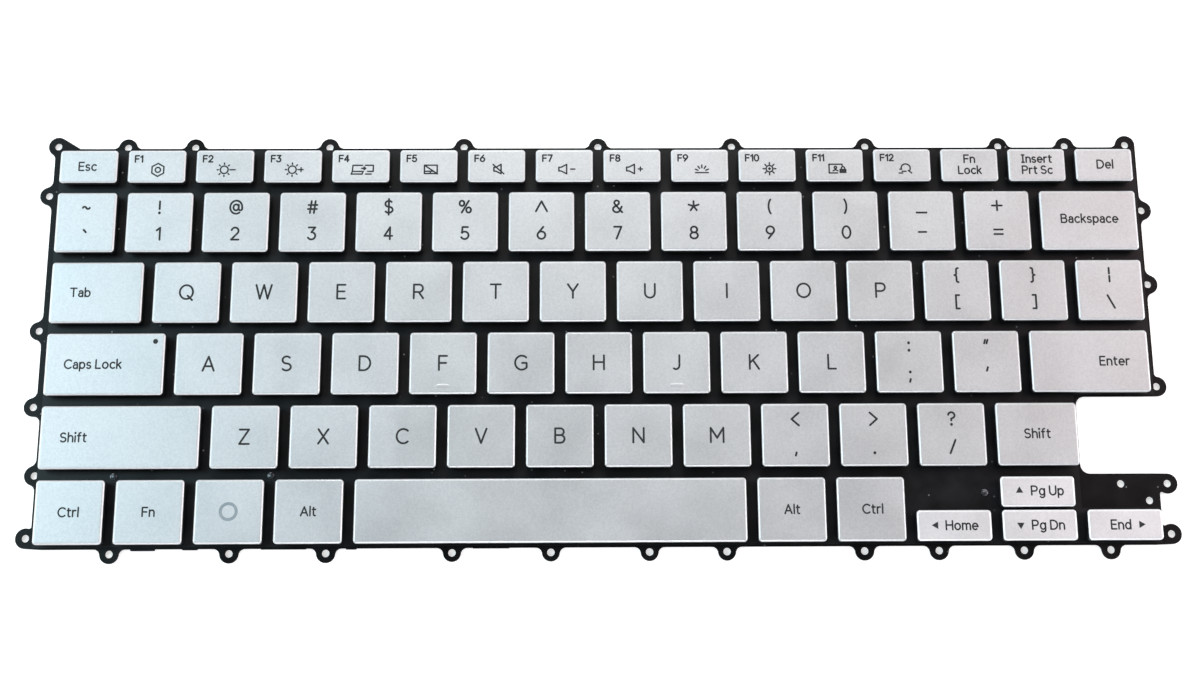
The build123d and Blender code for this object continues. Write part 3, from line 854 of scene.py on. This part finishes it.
# Base plate: its outline walks round the edges, with a round crown and two fillets at each fixing ear
plateShape = {
    "crown": 2.45,
    "topCrown": 2.3,
    "spaceCrown": 2.15,  # the ears in front of the space bar are smaller
    "hole": 0.9,
    "edgeOut": 0.5,  # from the membrane out to the plate's edge
    "leftStep": 1.0,  # the lower left edge lies this much further in
    "tongueStep": 1.05,  # and so does the right edge below the notch
    "notchSide": 1.1,  # from the caps to the notch's three edges
    "notchBelow": 1.0,
    "notchAbove": 0.6,
    "notchRadius": 2.2,
    "fillet": 1.5,
    "sideFillet": 1.8,
    "notchFillet": 0.8,
    "tightFillet": 0.5,
    "ramp": -5.6,  # a negative fillet is a straight run
    "run": -4.0,
    "cornerZone": 130.0,  # ears further out than this along the top are corner ears
    # side and corner ears from the tongue round to the lower left: place near the hole, edges, fillets
    "sideEars": [
        ((138.0, -47.7), "bottom", "tongue", "run", "tightFillet"),
        ((138.0, -35.5), "tongue", "notchLow", "tightFillet", "run"),
        ((137.4, -11.5), "notchHigh", "right", "run", "notchFillet"),
        ((137.4, 14.5), "right", "right", "sideFillet", "sideFillet"),
        ((137.4, 33.8), "right", "right", "sideFillet", "sideFillet"),
        ((134.6, 51.3), "right", "top", "run", "fillet"),
        ((-136.7, 51.3), "top", "left", "ramp", "fillet"),
        ((-138.1, 38.2), "left", "left", "sideFillet", "sideFillet"),
        ((-138.1, 3.4), "left", "left", "sideFillet", "sideFillet"),
        ((-138.1, -15.7), "left", "lowLeft", "sideFillet", "fillet"),
        ((-136.6, -32.5), "lowLeft", "lowLeft", "sideFillet", "fillet"),
        ((-137.6, -47.6), "lowLeft", "bottom", "tightFillet", "run"),
    ],
    "steps": [(-112.5, -106.5, 0.4), (-100.1, -96.3, 0.25), (-81.3, -70.3, 0.17), (-61.0, -58.3, 0.25),
              (-30.6, -21.7, 0.13)],  # low steps of the bottom edge: from, to, how far out
    "stepSlope": 0.15,
    "arcStep": 12.0,  # degrees
    "holeSteps": 28,
    "mergeReach": 1e-7,  # metres
}


# hole places in millimetres, from the record's mounts: a pair lies half its spacing to both sides
def holePlaces():
    places = []
    for mount in frame["record"]["mounts"]:
        x, y = np.array(mount["pos_m"][:2]) / mm
        dims = mount["dims"]
        if mount["kind"] == "bolt_pattern":
            dx, dy = dims.get("spacing_x_mm", 0) / 2, dims.get("spacing_y_mm", 0) / 2
            places += [(x - dx, y - dy), (x + dx, y + dy)]
        elif mount["kind"] == "bore":
            places.append((x, y))
    return np.array(places)


# arc from one point to another round a middle; way is 1 for a left turn and -1 for a right turn
def arcBetween(middle, first, last, way):
    a = np.arctan2(*(first - middle)[::-1])
    b = np.arctan2(*(last - middle)[::-1])
    sweep = (way * (b - a)) % (2 * np.pi)
    turn = a + way * np.linspace(0, sweep, max(2, int(np.degrees(sweep) / plateShape["arcStep"]) + 2))
    radius = np.linalg.norm(first - middle)
    return middle + radius * np.stack([np.cos(turn), np.sin(turn)], -1)


# one side of an ear: fillet of radius f between an edge and the crown, its foot sqrt((r+f)^2 - (h-f)^2)
# along the edge, where h is the crown's height over it; a negative fillet is a straight run that starts so
# far along the edge and touches the crown at asin(r / distance) from the line to its middle
def earSide(hole, edge, fillet, way, crown):
    point, along = edge
    out = np.array([along[1], -along[0]])
    height = (hole - point) @ out
    root = hole - height * out
    if fillet <= 0:
        foot = root + way * fillet * along
        gap = hole - foot
        length = np.sqrt(gap @ gap - crown ** 2)
        across = np.array([gap[1], -gap[0]]) * way
        return np.stack([foot, foot + (gap * length + across * crown) * length / (gap @ gap)])
    reach = np.sqrt((crown + fillet) ** 2 - (height - fillet) ** 2)
    foot = root - way * reach * along
    middle = foot + fillet * out
    touch = middle + (hole - middle) * fillet / (crown + fillet)
    return arcBetween(middle, foot, touch, -way)


# outline of one ear: in from the first edge, round the crown, out to the second edge; the crown's radius is
# cut to what stays in the plate's box
def earPath(hole, first, last, firstFillet, lastFillet, size="crown"):
    low, high = nodeBox("base_plate")
    crown = min(plateShape[size], *(hole - low[:2]), *(high[:2] - hole))
    start = earSide(hole, first, firstFillet, 1, crown)
    end = earSide(hole, last, lastFillet, -1, crown)[::-1]
    return np.concatenate([start, arcBetween(hole, start[-1], end[0], 1), end])


# the plate's outline, anticlockwise from the bottom edge: each edge lies a named distance from the membrane
# or a cap, and each ear joins the edges beside it
def plateOutline(holes):
    shape = plateShape
    fieldLow, fieldHigh = nodeBox("membrane_sheet")
    top, bottom = fieldHigh[1] + shape["edgeOut"], fieldLow[1] - shape["edgeOut"]
    right, lowLeft = fieldHigh[0] + shape["edgeOut"], fieldLow[0] - shape["edgeOut"]
    tongue, left = right - shape["tongueStep"], lowLeft - shape["leftStep"]
    notchLow = caps["page_up"][1][1] + shape["notchBelow"]
    notchHigh = caps["enter"][0][1] - shape["notchAbove"]
    notchLeft = caps["right_shift"][1][0] + shape["notchSide"]
    east, north = np.array([1.0, 0.0]), np.array([0.0, 1.0])
    edge = {"bottom": (bottom * north, east), "tongue": (tongue * east, north),
            "notchLow": (notchLow * north, -east), "notchHigh": (notchHigh * north, east),
            "right": (right * east, north), "top": (top * north, -east),
            "left": (left * east, -north), "lowLeft": (lowLeft * east, -north)}

    # an ear that is named by a place: at the hole nearest to it
    def sideEar(place, first, last, firstFillet, lastFillet):
        hole = holes[np.argmin(np.hypot(*(holes - place).T))]
        return earPath(hole, edge[first], edge[last], shape[firstFillet], shape[lastFillet])

    # ears in a row on one edge
    def rowEar(hole, side, size):
        return earPath(hole, edge[side], edge[side], shape["fillet"], shape["fillet"], size)

    spaceLow, spaceHigh = caps["space"]
    onBottom = holes[holes[:, 1] < bottom]
    bottomRuns = [rowEar(hole, "bottom", "spaceCrown" if spaceLow[0] < hole[0] < spaceHigh[0] else "crown")
                  for hole in onBottom]
    slope = shape["stepSlope"]
    bottomRuns += [np.array([(first, bottom), (first + slope, bottom - out), (last - slope, bottom - out),
                             (last, bottom)]) for first, last, out in shape["steps"]]
    bottomRuns.sort(key=lambda run: run[0, 0])
    onTop = holes[(holes[:, 1] > top) & (np.abs(holes[:, 0]) < shape["cornerZone"])]
    topRuns = [rowEar(hole, "top", "topCrown") for hole in onTop[np.argsort(-onTop[:, 0])]]
    r = shape["notchRadius"]
    low, high = np.array([notchLeft + r, notchLow + r]), np.array([notchLeft + r, notchHigh - r])
    notchRuns = [arcBetween(low, low - (0, r), low - (r, 0), -1),
                 arcBetween(high, high - (r, 0), high + (0, r), -1)]
    sideRuns = [sideEar(*ear) for ear in shape["sideEars"]]
    return np.concatenate([*bottomRuns, *sideRuns[:2], *notchRuns, *sideRuns[2:6], *topRuns, *sideRuns[6:]])


# the outline and its holes as one filled flat curve, thickened, made a mesh and closed
def basePlate():
    shape = plateShape
    low, high = nodeBox("base_plate")
    holes = holePlaces()
    rings = [hole + shape["hole"] * unitCircle(shape["holeSteps"]) for hole in holes]
    curve = bpy.data.curves.new("plateOutline", "CURVE")
    curve.dimensions = "2D"
    curve.fill_mode = "BOTH"
    curve.extrude = (high[2] - low[2]) / 2 * mm
    for ring in [plateOutline(holes), *rings]:
        spline = curve.splines.new("POLY")
        spline.points.add(len(ring) - 1)
        spline.points.foreach_set("co", np.c_[ring * mm, np.zeros(len(ring)), np.ones(len(ring))].ravel())
        spline.use_cyclic_u = True
    carrier = bpy.data.objects.new("plateOutline", curve)
    bpy.context.scene.collection.objects.link(carrier)
    mesh = bpy.data.meshes.new_from_object(carrier.evaluated_get(bpy.context.evaluated_depsgraph_get()))
    bpy.data.objects.remove(carrier)
    work = bmesh.new()
    work.from_mesh(mesh)
    bmesh.ops.remove_doubles(work, verts=work.verts, dist=shape["mergeReach"])
    bmesh.ops.translate(work, verts=work.verts, vec=(0, 0, (low[2] + high[2]) / 2 * mm))
    bmesh.ops.recalc_face_normals(work, faces=work.faces)
    work.to_mesh(mesh)
    work.free()
    mesh.name = "basePlate"
    mesh.materials.clear()
    mesh.materials.append(plateCoat)
    placePiece(mesh, base, ["base_plate"])


basePlate()
for node, material in (("membrane_sheet", filmCoat), ("backlight_panel", acrylic)):
    nodes[node].data.materials.clear()
    nodes[node].data.materials.append(material)
print("plate and sheets made")

# Rivets on the web between the caps: low heads with a raised rim and a hollow in the middle
rivetLook = {
    "radius": 0.9,
    "profile": [(1.0, 0.0), (1.0, 0.12), (0.94, 0.2), (0.8, 0.23), (0.68, 0.16), (0.58, 0.08), (0.45, 0.13),
                (0.25, 0.17)],  # share of the radius, height
    "steps": 24,
    "places": [(-117.3, -32.8), (-79.4, -32.7), (93.2, -37.6)],
}
rivetShare, rivetRise = np.array(rivetLook["profile"]).T
rivetShells = [turnedShell(place, rivetLook["radius"] * rivetShare, floorZ + rivetRise, rivetLook["steps"], 0)
               for place in rivetLook["places"]]
buildPiece("webRivets", rivetShells, [rivetSteel], base, [])

# Stage: a pale floor that keeps the shadow, white behind, soft lamps, the photograph's camera
stageLook = {
    "floor": "#f4f4f4",
    "floorHalf": 3.0,
    "floorDrop": 0.0001,  # clear below the panel
    "floorGlow": 0.52,  # for camera, glossy and transmission rays only, so that it lights nothing itself
    "skyStart": 0.5,  # sine of the height over the horizon
    "skyEnd": 0.85,
    "overhead": 0.1,
}
floorMesh = bpy.data.meshes.new("floor")
corners = stageLook["floorHalf"] * np.array([(-1, -1), (1, -1), (1, 1), (-1, 1)])
floorMesh.from_pydata(np.c_[corners, np.full(4, -stageLook["floorDrop"])], [], [(0, 1, 2, 3)])
floor = bpy.data.objects.new("floor", floorMesh)
bpy.context.scene.collection.objects.link(floor)
floorMaterial = bpy.data.materials.new("paleFloor")
floorMaterial.use_nodes = True
tree = floorMaterial.node_tree
tree.nodes.clear()
lightPath = addNode(tree, "ShaderNodeLightPath")
seen = addNode(tree, "ShaderNodeMath", {"operation": "MAXIMUM"},
               links={0: lightPath.outputs["Is Camera Ray"], 1: lightPath.outputs["Is Glossy Ray"]})
seenAll = addNode(tree, "ShaderNodeMath", {"operation": "MAXIMUM"},
                  links={0: seen.outputs["Value"], 1: lightPath.outputs["Is Transmission Ray"]})
glow = addNode(tree, "ShaderNodeMath", {"operation": "MULTIPLY"}, values={1: stageLook["floorGlow"]},
               links={0: seenAll.outputs["Value"]})
shader = addNode(tree, "ShaderNodeBsdfPrincipled",
                 values={"Base Color": linearColour(stageLook["floor"]), "Roughness": 0.9,
                         "Specular IOR Level": 0.1, "Emission Color": (1, 1, 1, 1)},
                 links={"Emission Strength": glow.outputs["Value"]})
addNode(tree, "ShaderNodeOutputMaterial", links={"Surface": shader.outputs["BSDF"]})
floorMesh.materials.append(floorMaterial)

# room: white round the horizon and darker overhead, so that flat tops look grey and rounded edges catch
# light
world = bpy.data.worlds.new("softRoom")
bpy.context.scene.world = world
world.use_nodes = True
tree = world.node_tree
tree.nodes.clear()
outward = addNode(tree, "ShaderNodeTexCoord")
axes = addNode(tree, "ShaderNodeSeparateXYZ", links={"Vector": outward.outputs["Generated"]})
level = addNode(tree, "ShaderNodeMapRange", {"interpolation_type": "SMOOTHSTEP"},
                values={"From Min": stageLook["skyStart"], "From Max": stageLook["skyEnd"], "To Min": 1.0,
                        "To Max": stageLook["overhead"]},
                links={"Value": axes.outputs["Z"]})
room = addNode(tree, "ShaderNodeBackground", values={"Color": (1, 1, 1, 1)},
               links={"Strength": level.outputs["Result"]})
addNode(tree, "ShaderNodeOutputWorld", links={"Surface": room.outputs["Background"]})

# soft lamps: place and aim in metres, size, colour, power in watts; the first three light the tops of the
# caps, the others their edges
lamps = {
    "coolLeft": ((-0.6, 0.12, 0.6), (-0.05, 0, 0), 0.4, "#caf3ff", 2.58),
    "warmRight": ((0.6, 0.2, 0.6), (0.05, 0, 0), 0.4, "#ffd3d1", 1.07),
    "behind": ((0, 0.75, 0.75), (0, 0.02, 0), 0.5, "#fffbf6", 4.4),
    "front": ((0, -0.85, 0.5), (0, 0, 0), 0.5, "#ffffff", 2.76),
    "lowLeft": ((-0.95, 0, 0.35), (0, 0, 0), 0.4, "#fff4ea", 1.6),
    "lowRight": ((0.95, 0, 0.35), (0, 0, 0), 0.4, "#ffffff", 2.75),
}
for name, (place, aim, size, colour, power) in lamps.items():
    light = bpy.data.lights.new(name, "AREA")
    light.size = size
    light.energy = power
    light.color = linearColour(colour)[:3]
    lamp = bpy.data.objects.new(name, light)
    lamp.location = place
    way = np.array(aim) - np.array(place)
    lamp.rotation_euler = (np.arctan2(np.hypot(way[0], way[1]), -way[2]), 0, np.arctan2(-way[0], way[1]))
    bpy.context.scene.collection.objects.link(lamp)

# camera: nearly straight above, a little in front, at the photograph's distance; place in millimetres, turn in
# degrees
cameraLook = {"place": (-3.74, -80.135, 361.463), "turn": (12.3452, -0.563, -0.311), "lens": 44.8486}
cameraData = bpy.data.cameras.new("camera")
cameraData.lens = cameraLook["lens"]
cameraData.sensor_width = 36.0
camera = bpy.data.objects.new("camera", cameraData)
camera.location = np.array(cameraLook["place"]) * mm
camera.rotation_euler = np.radians(cameraLook["turn"])
cameraData.clip_start = 0.01
bpy.context.scene.collection.objects.link(camera)
bpy.context.scene.camera = camera
bpy.context.scene.view_settings.view_transform = "Standard"
print("stage set")
